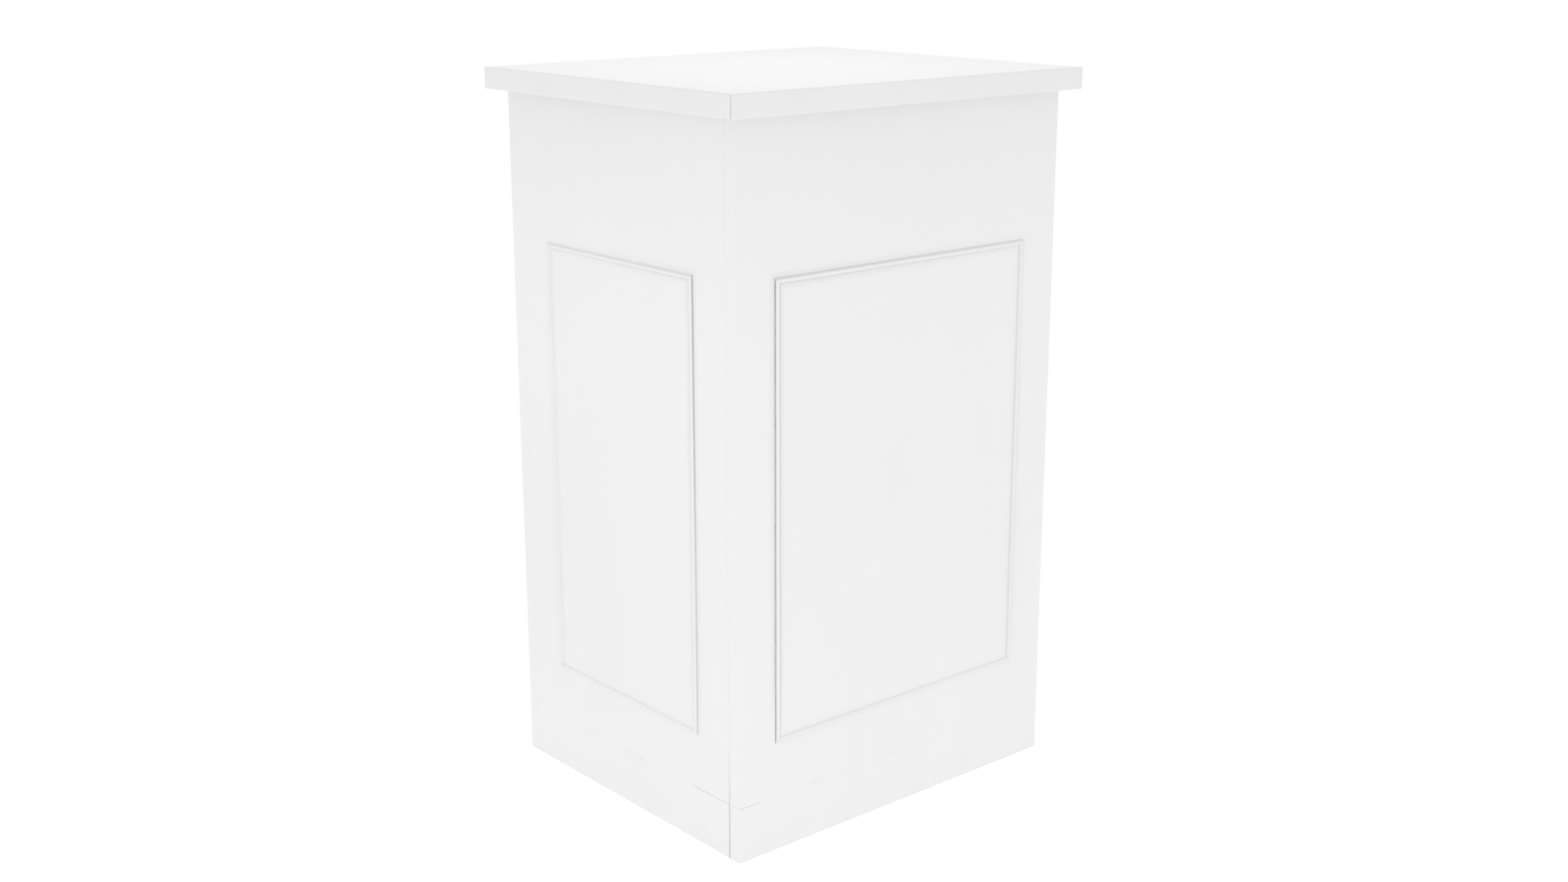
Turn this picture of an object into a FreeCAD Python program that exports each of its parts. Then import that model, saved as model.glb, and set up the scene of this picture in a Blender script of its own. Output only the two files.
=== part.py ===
# Display plinth: a painted pedestal with a flush base band, panel-moulding
# beads on its four faces and an overhanging, edge-lipped top.
#
# Frame: millimetres, +Z up, origin on the floor under the middle of the plinth.
# The wide front face looks towards -Y, the left side towards -X.
#
# Every face is described once, in a "face frame": x runs to the right as
# somebody standing in front of that face sees it, y points into the plinth and
# z is up. A quarter or half turn about Z then puts the piece on its own side.

import FreeCAD, Part
import Sketcher
import os

V = FreeCAD.Vector
Rot = FreeCAD.Rotation

doc = FreeCAD.newDocument("DisplayPlinth")
sheet = doc.addObject("Spreadsheet::Sheet", "Dims")

# ------------------------------------------------------------------ dimensions
DIMENSIONS = [
    # name, value in mm, meaning
    ("overall_height", 900, "floor to the display surface"),
    ("body_width", 512, "front face"),
    ("body_depth", 440, "side face"),
    ("wall", 18, "panel and base board thickness"),
    ("base_height", 70, "height of the flush base band"),
    ("overhang", 20, "top past the body, all round"),
    ("core_thick", 25, "top board core"),
    ("laminate", 1, "sheet on each face of the core"),
    ("lipping", 2, "edge band thickness"),
    ("arris", 1, "rounding of outside edges"),
    ("lip_round", 1.2, "rounding of the top's edges"),
    ("bead_width", 5, "moulding, across"),
    ("bead_rise", 2, "moulding, proud of the panel"),
    ("front_margin", 56.5, "corner to bead frame, wide faces"),
    ("side_margin", 77.5, "corner to bead frame, narrow faces"),
    ("frame_low", 139.5, "floor to the lower bead"),
    ("frame_high", 692.5, "floor to the upper bead"),
    ("batten", 32, "corner batten, square"),
    ("cleat", 28, "cleat, square"),
    ("deck", 18, "bottom deck thickness"),
    ("foot_gap", 2, "base blocks kept off the floor"),
    ("open_floor", 1.4, "opened joint, left boards, at the floor"),
    ("open_band", 0.8, "opened joint, left boards, at the band's top"),
    ("open_run", 90, "height over which the side panel's joint closes"),
    ("open_top", 0.8, "opened joint, left edge band, at the front corner"),
    ("shank", 4, "screw diameter"),
    ("head", 8, "screw head diameter"),
    ("clearance", 4.4, "hole that the screw passes through"),
    ("bite", 4.1, "hole that the screw grips in"),
    ("sink", 8.6, "countersink diameter"),
    ("head_drop", 0.2, "head below the surface"),
    ("screw_long", 45, "batten, block, deck and top fixing screws"),
    ("screw_short", 40, "cleat and base fixing screws"),
    ("rise_a1", 210, "side-panel screws in a batten, lowest"),
    ("rise_a2", 470, "side-panel screws in a batten, middle"),
    ("rise_a3", 730, "side-panel screws in a batten, highest"),
    ("rise_b1", 180, "front and back screws in a batten, lowest"),
    ("rise_b2", 440, "front and back screws in a batten, middle"),
    ("rise_b3", 700, "front and back screws in a batten, highest"),
    ("block_a", 22, "side-board screw in a base block, from the floor"),
    ("block_b", 48, "front and back screw in a base block, from the floor"),
    ("cleat_inset", 70, "first fixing screw from a cleat's end"),
    ("pin_inset", 110, "first face screw from a cleat's end"),
]

for row, (name, value, meaning) in enumerate(DIMENSIONS, start=1):
    sheet.set("A%d" % row, name)
    sheet.set("B%d" % row, str(value))
    sheet.set("C%d" % row, meaning)
    sheet.setAlias("B%d" % row, name)
doc.recompute()


class Size:
    """A length that carries its value and the sheet formula it comes from."""

    def __init__(self, value, text):
        self.value = float(value)
        self.text = text

    @staticmethod
    def of(other):
        return other if isinstance(other, Size) else Size(other, repr(float(other)) + " mm")

    def __add__(self, other):
        other = Size.of(other)
        return Size(self.value + other.value, "(%s + %s)" % (self.text, other.text))

    __radd__ = __add__

    def __sub__(self, other):
        other = Size.of(other)
        return Size(self.value - other.value, "(%s - %s)" % (self.text, other.text))

    def __rsub__(self, other):
        return Size.of(other) - self

    def __mul__(self, factor):
        return Size(self.value * factor, "(%s * %s)" % (self.text, repr(float(factor))))

    __rmul__ = __mul__

    def __truediv__(self, factor):
        return Size(self.value / factor, "(%s / %s)" % (self.text, repr(float(factor))))

    def __neg__(self):
        return Size(-self.value, "(0 mm - %s)" % self.text)


def dim(name):
    return Size(float(sheet.get(name)), "Dims.%s * 1 mm" % name)


H = dim("overall_height")
W = dim("body_width")
D = dim("body_depth")
wall = dim("wall")
base = dim("base_height")
over = dim("overhang")
core = dim("core_thick")
lam = dim("laminate")
lip = dim("lipping")
arris = dim("arris")
lip_round = dim("lip_round")
bead_w = dim("bead_width")
bead_r = dim("bead_rise")
batten = dim("batten")
cleat = dim("cleat")
deck = dim("deck")
foot = dim("foot_gap")
shank = dim("shank")
head = dim("head")
clearance = dim("clearance")
bite = dim("bite")
sink = dim("sink")
drop = dim("head_drop")
screw_long = dim("screw_long")
screw_short = dim("screw_short")
cleat_inset = dim("cleat_inset")
pin_inset = dim("pin_inset")
ZERO = Size(0, "0 mm")

under = H - core - lam * 2              # underside of the top, top of the walls
carcass = under - base                  # height of the wall panels
RISE_A = [dim("rise_a1"), dim("rise_a2"), dim("rise_a3")]
RISE_B = [dim("rise_b1"), dim("rise_b2"), dim("rise_b3")]

pieces = []                             # the sub-parts, in the order they are made


# ------------------------------------------------------------------- helpers
def origin_plane(body, role):
    return [f for f in body.Origin.OriginFeatures if f.Role == role][0]


def new_body(label):
    body = doc.addObject("PartDesign::Body", label)
    body.Label = label
    pieces.append(body)
    return body


def new_sketch(body, name, role):
    sk = body.newObject("Sketcher::SketchObject", name)
    sk.AttachmentSupport = [(origin_plane(body, role), "")]
    sk.MapMode = "FlatFace"
    return sk


def hold(sk, kind, args, size):
    """Add one dimension to a sketch and bind it to its formula."""
    number = sk.addConstraint(Sketcher.Constraint(kind, *args, size.value))
    sk.setExpression("Constraints[%d]" % number, size.text)


def pin_point(sk, geo, end, x, y):
    """Fix one point of the sketch at x, y, both zero or positive."""
    if abs(x.value) < 1e-9:
        sk.addConstraint(Sketcher.Constraint("PointOnObject", geo, end, -2))
    else:
        hold(sk, "DistanceX", (-1, 1, geo, end), x)
    if abs(y.value) < 1e-9:
        sk.addConstraint(Sketcher.Constraint("PointOnObject", geo, end, -1))
    else:
        hold(sk, "DistanceY", (-1, 1, geo, end), y)


def draw_outline(sk, points):
    """A closed outline through the given points."""
    n = len(points)
    first = sk.GeometryCount
    for i in range(n):
        a, b = points[i], points[(i + 1) % n]
        sk.addGeometry(Part.LineSegment(V(a[0].value, a[1].value, 0),
                                        V(b[0].value, b[1].value, 0)), False)
    for i in range(n):
        sk.addConstraint(Sketcher.Constraint("Coincident", first + i, 2,
                                             first + (i + 1) % n, 1))
    for i, (x, y) in enumerate(points):
        pin_point(sk, first + i, 1, x, y)


def draw_circles(sk, centres, diameter):
    for x, y in centres:
        geo = sk.addGeometry(Part.Circle(V(x.value, y.value, 0), V(0, 0, 1),
                                         diameter.value / 2), False)
        pin_point(sk, geo, 3, x, y)
        hold(sk, "Diameter", (geo,), diameter)


def shape_of(feature):
    doc.recompute()
    return feature.Shape


def pad(body, points, depth, name="Blank"):
    sk = new_sketch(body, "Outline_" + body.Name, "XY_Plane")
    draw_outline(sk, points)
    feature = body.newObject("PartDesign::Pad", name + "_" + body.Name)
    feature.Profile = sk
    feature.Type = "Length"
    feature.Length = depth.value
    feature.setExpression("Length", depth.text)
    shape_of(feature)
    return feature


def rectangle(width, height):
    return [(ZERO, ZERO), (width, ZERO), (width, height), (ZERO, height)]


def must_shrink(feature, before, label):
    after = feature.Shape.Volume
    if not after < before - 1e-6:
        raise RuntimeError("%s removed nothing" % label)


def drill(body, role, centres, diameter, depth, name):
    """Plain blind holes that start on an origin plane and go into the piece."""
    before = body.Shape.Volume
    sk = new_sketch(body, name + "_layout_" + body.Name, role)
    draw_circles(sk, centres, diameter)
    feature = body.newObject("PartDesign::Pocket", name + "_" + body.Name)
    feature.Profile = sk
    feature.Type = "Length"
    feature.Length = depth.value
    feature.setExpression("Length", depth.text)
    feature.Reversed = role != "XZ_Plane"
    shape_of(feature)
    must_shrink(feature, before, name + " of " + body.Label)


def countersink(body, role, centres, name):
    """Clearance holes right through, countersunk where the screws go in."""
    before = body.Shape.Volume
    sk = new_sketch(body, name + "_layout_" + body.Name, role)
    draw_circles(sk, centres, clearance)
    doc.recompute()
    feature = body.newObject("PartDesign::Hole", name + "_" + body.Name)
    feature.Profile = sk
    doc.recompute()
    feature.Threaded = False
    feature.DepthType = "ThroughAll"
    feature.DrillPoint = "Flat"
    feature.HoleCutType = "Countersink"
    feature.HoleCutCustomValues = True
    feature.Diameter = clearance.value
    feature.HoleCutDiameter = sink.value
    feature.HoleCutCountersinkAngle = 90
    feature.setExpression("Diameter", clearance.text)
    feature.setExpression("HoleCutDiameter", sink.text)
    feature.Reversed = role != "XZ_Plane"
    shape_of(feature)
    must_shrink(feature, before, name + " of " + body.Label)


def soften(body, test, radius, name="Arris"):
    """Round the edges of the piece that the test picks."""
    blank = body.Tip
    names = []
    for i, edge in enumerate(blank.Shape.Edges, start=1):
        a, b = edge.Vertexes[0].Point, edge.Vertexes[-1].Point
        if test(a, b):
            names.append("Edge%d" % i)
    if not names:
        raise RuntimeError("no edge to round on " + body.Label)
    before = body.Shape.Volume
    feature = body.newObject("PartDesign::Fillet", name + "_" + body.Name)
    feature.Base = (blank, names)
    feature.Radius = radius.value
    feature.setExpression("Radius", radius.text)
    shape_of(feature)
    must_shrink(feature, before, name + " of " + body.Label)


def near(a, b):
    return abs(a - b) < 1e-6


def turn_xy(x, y, turn):
    """A point of the face frame, turned about Z to its own side."""
    return {0: (x, y), 90: (-y, x), 180: (-x, -y), -90: (y, -x)}[turn]


def place(obj, x, y, z, turn, lay=None):
    """Bind the Placement: face-frame point x, y, z turned about Z."""
    px, py = turn_xy(x, y, turn)
    rotation = Rot(V(0, 0, 1), turn)
    if lay is not None:
        rotation = rotation.multiply(lay)
    obj.Placement = FreeCAD.Placement(V(px.value, py.value, z.value), rotation)
    obj.setExpression(".Placement.Base.x", px.text)
    obj.setExpression(".Placement.Base.y", py.text)
    obj.setExpression(".Placement.Base.z", z.text)


UPRIGHT = Rot(V(1, 0, 0), 90)           # local X right, local Y up, local Z outwards

# side name, turn about Z, width of the face, distance of the face from the axis,
# True where the boards run the full width and cover the neighbours' ends
SIDES = [
    ("front", 0, W, D / 2, True),
    ("back", 180, W, D / 2, True),
    ("left", -90, D, W / 2, False),
    ("right", 90, D, W / 2, False),
]

# ----------------------------------------------------------- walls and base band
# Screw positions are face-frame x for the battens and cleats of each side.
screws = {}


def note_screw(group, point, direction, length):
    screws.setdefault(group, []).append((point, direction, length))


for side, turn, span, out, laps in SIDES:
    rises = RISE_B if laps else RISE_A
    block_rise = dim("block_b") if laps else dim("block_a")
    run = span if laps else span - wall * 2
    start = -run / 2
    column = span / 2 - wall - batten / 2          # batten screws, either side
    top_len = span - wall * 2 - batten * 2         # cleat length
    pins = [-(top_len / 2 - pin_inset), top_len / 2 - pin_inset]
    inner = -(out - wall)

    # wall panel, standing on the base band
    body = new_body(side + ("_panel" if laps else "_side_panel"))
    if side == "left":
        # the front end has opened a little next to the front panel's edge
        points = [(ZERO, ZERO), (run - dim("open_band"), ZERO),
                  (run, dim("open_run")), (run, carcass), (ZERO, carcass)]
    else:
        points = rectangle(run, carcass)
    pad(body, points, wall)
    if laps:
        soften(body, lambda a, b: near(a.z, wall.value) and near(b.z, wall.value)
               and near(a.x, b.x), arris)
    centres = [(sx - start, z - base) for sx in (-column, column) for z in rises]
    centres += [(px - start, carcass - cleat / 2) for px in pins]
    drill(body, "XY_Plane", centres, bite, screw_long - batten + 1, "Screw_holes")
    place(body, start, inner, base, turn, UPRIGHT)

    # board of the base band, flush with the panel above it
    body = new_body("base_" + side + "_board")
    if side == "left":
        points = [(ZERO, ZERO), (run - dim("open_floor"), ZERO),
                  (run - dim("open_band"), base), (ZERO, base)]
    else:
        points = rectangle(run, base)
    pad(body, points, wall)
    if laps:
        soften(body, lambda a, b: near(a.z, wall.value) and near(b.z, wall.value)
               and (near(a.x, b.x) or (near(a.y, 0) and near(b.y, 0))), arris)
    else:
        soften(body, lambda a, b: near(a.z, wall.value) and near(b.z, wall.value)
               and near(a.y, 0) and near(b.y, 0), arris)
    centres = [(sx - start, block_rise) for sx in (-column, column)]
    centres += [(px - start, base - cleat / 2) for px in pins]
    drill(body, "XY_Plane", centres, bite, screw_long - batten + 1, "Screw_holes")
    place(body, start, inner, ZERO, turn, UPRIGHT)

    # cleats: one under the top, one inside the base band
    fix = [cleat_inset, top_len - cleat_inset]
    for label, low, group in (("top_cleat_" + side, under - cleat, "top_fixing_screws"),
                              ("base_cleat_" + side, base - cleat, "base_fixing_screws")):
        body = new_body(label)
        pad(body, rectangle(top_len, cleat), cleat)
        countersink(body, "XY_Plane", [(px + top_len / 2, cleat / 2) for px in pins],
                    "Face_holes")
        countersink(body, "XZ_Plane", [(fx, cleat / 2) for fx in fix], "Fixing_holes")
        place(body, -top_len / 2, inner + cleat, low, turn, UPRIGHT)
        length = screw_long if group == "top_fixing_screws" else screw_short
        for fx in fix:
            x, y = turn_xy(fx - top_len / 2, inner + cleat / 2, turn)
            note_screw(group, (x, y, low), V(0, 0, 1), length)
        for px in pins:
            x, y = turn_xy(px, inner + cleat, turn)
            dx, dy = turn_xy(0, -1, turn)
            note_screw("cleat_screws", (x, y, low + cleat / 2), V(dx, dy, 0), screw_short)

# --------------------------------------------------- corner battens and base blocks
# Local X and Y point outwards from the batten's inner corner to the two walls.
CORNERS = [("back_right", 0), ("back_left", 90), ("front_left", 180), ("front_right", -90)]
half = batten / 2

for corner, turn in CORNERS:
    even = turn in (0, 180)
    ox = (W if even else D) / 2 - wall - batten
    oy = (D if even else W) / 2 - wall - batten
    x_rises = RISE_A if even else RISE_B            # screws along local X
    y_rises = RISE_B if even else RISE_A            # screws along local Y

    body = new_body("corner_batten_" + corner)
    foot_z = base + deck
    pad(body, rectangle(batten, batten), under - foot_z)
    soften(body, lambda a, b: near(a.x, 0) and near(b.x, 0) and near(a.y, 0)
           and near(b.y, 0), arris)
    countersink(body, "YZ_Plane", [(half, z - foot_z) for z in x_rises], "Side_holes")
    countersink(body, "XZ_Plane", [(half, z - foot_z) for z in y_rises], "Face_holes")
    drill(body, "XY_Plane", [(half, half)], bite, screw_long - deck + 1, "Deck_hole")
    place(body, ox, oy, foot_z, turn)

    block = new_body("base_block_" + corner)
    pad(block, rectangle(batten, batten), base - foot)
    block_x = dim("block_a") if even else dim("block_b")
    block_y = dim("block_b") if even else dim("block_a")
    countersink(block, "YZ_Plane", [(half, block_x - foot)], "Side_holes")
    countersink(block, "XZ_Plane", [(half, block_y - foot)], "Face_holes")
    # the deck screws' heads sit just above, so the block is left whole on top
    place(block, ox, oy, foot, turn)

    dx, dy = turn_xy(1, 0, turn)
    ex, ey = turn_xy(0, 1, turn)
    for z in x_rises:
        x, y = turn_xy(ox, oy + half, turn)
        note_screw("batten_screws", (x, y, z), V(dx, dy, 0), screw_long)
    for z in y_rises:
        x, y = turn_xy(ox + half, oy, turn)
        note_screw("batten_screws", (x, y, z), V(ex, ey, 0), screw_long)
    x, y = turn_xy(ox, oy + half, turn)
    note_screw("base_block_screws", (x, y, block_x), V(dx, dy, 0), screw_long)
    x, y = turn_xy(ox + half, oy, turn)
    note_screw("base_block_screws", (x, y, block_y), V(ex, ey, 0), screw_long)
    x, y = turn_xy(ox + half, oy + half, turn)
    note_screw("deck_screws", (x, y, base), V(0, 0, 1), screw_long)

# --------------------------------------------------------------------- bottom deck
deck_w = W - wall * 2
deck_d = D - wall * 2


def flat(points):
    """Points about the plinth's axis, moved to a board's own corner."""
    return [(x + deck_w / 2, y + deck_d / 2) for x, y in points]


body = new_body("bottom_deck")
pad(body, rectangle(deck_w, deck_d), deck)
cx, cy = W / 2 - wall - half, D / 2 - wall - half
countersink(body, "XY_Plane", flat([(cx, cy), (-cx, cy), (-cx, -cy), (cx, -cy)]),
            "Batten_holes")
grips = [(p[0], p[1]) for p, d, n in screws["base_fixing_screws"]]
drill(body, "XY_Plane", flat(grips), bite, screw_short - cleat + 1, "Base_holes")
place(body, -deck_w / 2, -deck_d / 2, base, 0)

# -------------------------------------------------------------------------- top
top_w = W + over * 2
top_d = D + over * 2
core_w = top_w - lip * 2
core_d = top_d - lip * 2


def on_core(points):
    return [(x + core_w / 2, y + core_d / 2) for x, y in points]


grips = [(p[0], p[1]) for p, d, n in screws["top_fixing_screws"]]

body = new_body("top_underlay_sheet")
pad(body, rectangle(core_w, core_d), lam)
drill(body, "XY_Plane", on_core(grips), bite, lam + 1, "Screw_holes")
place(body, -core_w / 2, -core_d / 2, under, 0)

body = new_body("top_core_board")
pad(body, rectangle(core_w, core_d), core)
drill(body, "XY_Plane", on_core(grips), bite, screw_long - cleat - lam + 1, "Screw_holes")
place(body, -core_w / 2, -core_d / 2, under + lam, 0)

body = new_body("top_surface_sheet")
pad(body, rectangle(core_w, core_d), lam)
place(body, -core_w / 2, -core_d / 2, under + lam + core, 0)

thick = core + lam * 2
for side, turn, span, out, laps in SIDES:
    run = (top_w if laps else core_d)
    start = -run / 2
    if side == "left":
        # stops a little short of the front band
        run = run - dim("open_top")
    reach = (top_d if laps else top_w) / 2
    body = new_body("top_edge_" + side)
    pad(body, rectangle(run, thick), lip)
    if laps:
        soften(body, lambda a, b: near(a.z, lip.value) and near(b.z, lip.value),
               lip_round)
    else:
        soften(body, lambda a, b: near(a.z, lip.value) and near(b.z, lip.value)
               and near(a.y, b.y), lip_round)
    place(body, start, -(reach - lip), under, turn, UPRIGHT)

# ------------------------------------------------------------------- bead frames
# Each strip: local X along it, local Y towards the middle of the frame, local Z
# out of the wall; its ends are mitred.
low = dim("frame_low")
high = dim("frame_high")
arc_r = Size((bead_w.value ** 2 / 4 + bead_r.value ** 2) / (2 * bead_r.value),
             "((Dims.bead_width ^ 2 / 4 + Dims.bead_rise ^ 2) / (2 * Dims.bead_rise) * 1 mm)")


def bead(label, length):
    body = new_body(label)
    sk = new_sketch(body, "Section_" + body.Name, "YZ_Plane")
    r = arc_r.value
    centre = V(bead_w.value / 2, bead_r.value - r, 0)
    a = V(bead_w.value, 0, 0) - centre
    b = V(0, 0, 0) - centre
    start = FreeCAD.Vector(1, 0, 0).getAngle(a) * (-1 if a.y < 0 else 1)
    end = FreeCAD.Vector(1, 0, 0).getAngle(b) * (-1 if b.y < 0 else 1)
    sk.addGeometry(Part.ArcOfCircle(Part.Circle(centre, V(0, 0, 1), r), start, end), False)
    sk.addGeometry(Part.LineSegment(V(0, 0, 0), V(bead_w.value, 0, 0)), False)
    sk.addConstraint(Sketcher.Constraint("Coincident", 0, 2, 1, 1))
    sk.addConstraint(Sketcher.Constraint("Coincident", 1, 2, 0, 1))
    sk.addConstraint(Sketcher.Constraint("Coincident", 1, 1, -1, 1))
    sk.addConstraint(Sketcher.Constraint("PointOnObject", 1, 2, -1))
    hold(sk, "DistanceX", (-1, 1, 1, 2), bead_w)
    hold(sk, "Radius", (0,), arc_r)
    strip = body.newObject("PartDesign::Pad", "Strip_" + body.Name)
    strip.Profile = sk
    strip.Type = "Length"
    strip.Length = length.value
    strip.setExpression("Length", length.text)
    shape_of(strip)
    box = strip.Shape.BoundBox
    if box.ZMax < bead_r.value - 1e-4 or box.XMin < -1e-6:
        raise RuntimeError("bead section is the wrong way up on " + label)
    before = strip.Shape.Volume
    reach = bead_w + 1
    cut = new_sketch(body, "Mitres_" + body.Name, "XY_Plane")
    draw_outline(cut, [(ZERO, ZERO), (reach, reach), (ZERO, reach)])
    draw_outline(cut, [(length, ZERO), (length, reach), (length - reach, reach)])
    mitre = body.newObject("PartDesign::Pocket", "Mitre_" + body.Name)
    mitre.Profile = cut
    mitre.Type = "Length"
    mitre.Length = bead_r.value + 2
    mitre.setExpression("Length", (bead_r + 2).text)
    mitre.Reversed = True
    shape_of(mitre)
    must_shrink(mitre, before, "mitre of " + label)
    return body


for side, turn, span, out, laps in SIDES:
    margin = dim("front_margin") if laps else dim("side_margin")
    x0, x1 = -(span / 2 - margin), span / 2 - margin
    wide, tall = x1 - x0, high - low
    for where, length, x, z, spin in (("bottom", wide, x0, low, 0),
                                      ("top", wide, x1, high, 180),
                                      ("left", tall, x0, high, -90),
                                      ("right", tall, x1, low, 90)):
        body = bead("%s_bead_%s" % (side, where), length)
        lay = UPRIGHT.multiply(Rot(V(0, 0, 1), spin))
        place(body, x, -out, z, turn, lay)


# ------------------------------------------------------------------------ screws
def screw(point, direction, length):
    """A countersunk wood screw, head just below the surface at point."""
    r, big = shank.value / 2, head.value / 2
    flank = big - r
    tip = 2.2 * r
    start = V(*[c.value for c in point]) + direction * drop.value
    solid = Part.makeCone(big, r, flank, start, direction)
    solid = solid.fuse(Part.makeCylinder(r, length.value - drop.value - flank - tip,
                                         start + direction * flank, direction))
    solid = solid.fuse(Part.makeCone(r, 0.4, tip,
                                     start + direction * (length.value - drop.value - tip),
                                     direction))
    return solid.removeSplitter()


for group in ("batten_screws", "top_fixing_screws", "cleat_screws", "deck_screws",
              "base_fixing_screws", "base_block_screws"):
    item = doc.addObject("Part::Feature", group)
    item.Label = group
    item.Shape = Part.makeCompound([screw(*entry) for entry in screws[group]])
    item.Placement = FreeCAD.Placement(V(0, 0, 0), Rot())
    pieces.append(item)

# ----------------------------------------------------------------- check and write
doc.recompute()
for obj in doc.Objects:
    if "Invalid" in obj.State or "Error" in obj.State:
        raise RuntimeError("%s is in state %s" % (obj.Label, obj.State))

labels = [p.Label for p in pieces]
if len(set(labels)) != len(labels) or len(labels) > 60:
    raise RuntimeError("sub-part labels are not unique, or there are too many")

os.makedirs("parts", exist_ok=True)
for piece in pieces:
    shape = piece.Shape
    if shape.isNull() or not shape.isValid() or not shape.Solids:
        raise RuntimeError("%s has no valid solid" % piece.Label)

whole = FreeCAD.BoundBox()
for piece in pieces:
    piece.Shape.exportStep("parts/%s.step" % piece.Label)
    whole.add(piece.Shape.BoundBox)
    print("%-28s solids %2d  volume %10.1f mm3" % (piece.Label, len(piece.Shape.Solids),
                                                   piece.Shape.Volume))
print("pieces %d, box %.1f x %.1f x %.1f mm, base at %.3f"
      % (len(pieces), whole.XLength, whole.YLength, whole.ZLength, whole.ZMin))
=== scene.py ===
import math

import bmesh
import bpy
import numpy as np
from mathutils import Matrix, Vector


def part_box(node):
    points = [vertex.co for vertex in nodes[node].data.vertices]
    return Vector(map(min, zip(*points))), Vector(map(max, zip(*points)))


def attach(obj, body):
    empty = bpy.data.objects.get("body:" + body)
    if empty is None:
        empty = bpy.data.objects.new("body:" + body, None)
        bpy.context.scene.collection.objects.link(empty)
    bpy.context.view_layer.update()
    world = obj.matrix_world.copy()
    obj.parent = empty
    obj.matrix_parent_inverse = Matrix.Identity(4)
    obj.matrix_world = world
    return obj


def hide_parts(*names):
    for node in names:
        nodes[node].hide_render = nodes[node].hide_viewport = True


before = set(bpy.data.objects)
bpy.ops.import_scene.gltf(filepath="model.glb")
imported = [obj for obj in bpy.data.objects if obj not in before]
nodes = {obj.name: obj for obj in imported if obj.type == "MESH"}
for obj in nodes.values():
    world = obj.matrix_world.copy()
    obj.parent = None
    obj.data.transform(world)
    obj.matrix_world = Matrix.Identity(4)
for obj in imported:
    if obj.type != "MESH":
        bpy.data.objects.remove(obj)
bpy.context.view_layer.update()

MM = 0.001
scene = bpy.context.scene

# Overall sizes, read from the frame. Everything below is in metres.
_lo, _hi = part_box("front_panel")
BW = _hi.x - _lo.x                      # body width
CARC = (_lo.z, _hi.z)                   # panels, bottom and top
WALL = _hi.y - _lo.y
_bl, _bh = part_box("back_panel")
BD = _bh.y - _lo.y                      # body depth
_t0, _t1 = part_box("top_edge_front")
_u0, _u1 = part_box("top_edge_back")
TW, TD = _t1.x - _t0.x, _u1.y - _t0.y   # top, outside
TZ = (_t0.z, _t1.z)
_b0, _b1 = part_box("front_bead_left")
BEAD_W, BEAD_H = _b1.x - _b0.x, _b1.y - _b0.y


def frame_rectangle(side):
    """Middle line of one face's bead frame: half width, middle height, half height."""
    boxes = [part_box("%s_bead_%s" % (side, w)) for w in ("bottom", "top", "left", "right")]
    k = 0 if side in ("front", "back") else 1
    a = min(b[0][k] for b in boxes), max(b[1][k] for b in boxes)
    z = min(b[0].z for b in boxes), max(b[1].z for b in boxes)
    return (a[1] - a[0] - BEAD_W) / 2, (z[0] + z[1]) / 2, (z[1] - z[0] - BEAD_W) / 2


# ----------------------------------------------------------------------- camera
def make_camera():
    """Full-frame lens at the photograph's viewing angle: front-left, eye a little
    above the top, principal axis through the middle of the picture."""
    yaw, pitch = 0.86199, 0.26936
    fwd = Vector((math.cos(yaw) * math.cos(pitch), math.sin(yaw) * math.cos(pitch), -math.sin(pitch)))
    right = Vector((math.sin(yaw), -math.cos(yaw), 0))
    up = right.cross(fwd)
    data = bpy.data.cameras.new("camera")
    cam = bpy.data.objects.new("camera", data)
    scene.collection.objects.link(cam)
    m = Matrix((right, up, -fwd)).transposed().to_4x4()
    m.translation = Vector((-BW / 2 - 1.30764, -BD / 2 - 1.60512, 1.08917))
    cam.matrix_world = m
    data.sensor_width = 36
    data.lens = 1951.58 * 36 / 1578
    data.clip_start = 0.05
    data.clip_end = 400
    scene.camera = cam
    return cam


camera = make_camera()


# ------------------------------------------------------------------ small helpers
def smooth_noise(seed, scale, dims=3, octaves=2):
    """A smooth, repeatable field: sines along fixed random directions."""
    rng = np.random.default_rng(seed + 1000)
    waves = []
    for o in range(octaves):
        for _ in range(6):
            d = rng.normal(size=dims)
            d /= np.linalg.norm(d)
            waves.append((d * (2 ** o) * rng.uniform(0.7, 1.3) / scale, rng.uniform(0, 2 * math.pi), 0.5 ** o))
    total = sum(w[2] for w in waves)

    def field(p):
        out = np.zeros(len(p))
        for k, phase, amp in waves:
            out += amp * np.sin(p @ k * 2 * math.pi + phase)
        return out / total * 2.2
    return field


def bell(x, centre, width):
    return np.exp(-((x - centre) / width) ** 2)


def mesh_object(name, verts, faces, smooth=True):
    me = bpy.data.meshes.new(name)
    me.from_pydata([tuple(v) for v in verts], [], [tuple(f) for f in faces])
    me.validate()
    me.update()
    if smooth:
        me.polygons.foreach_set("use_smooth", [True] * len(me.polygons))
    ob = bpy.data.objects.new(name, me)
    scene.collection.objects.link(ob)
    return ob


def weld_and_orient(ob, dist=1e-7):
    bm = bmesh.new()
    bm.from_mesh(ob.data)
    bmesh.ops.remove_doubles(bm, verts=bm.verts, dist=dist)
    bmesh.ops.dissolve_degenerate(bm, edges=bm.edges, dist=dist)
    bmesh.ops.recalc_face_normals(bm, faces=bm.faces)
    bm.to_mesh(ob.data)
    bm.free()


EDGE_STEPS = np.array([0.0, 0.12, 0.28, 0.5, 0.8, 1.2, 1.8]) * MM


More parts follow.
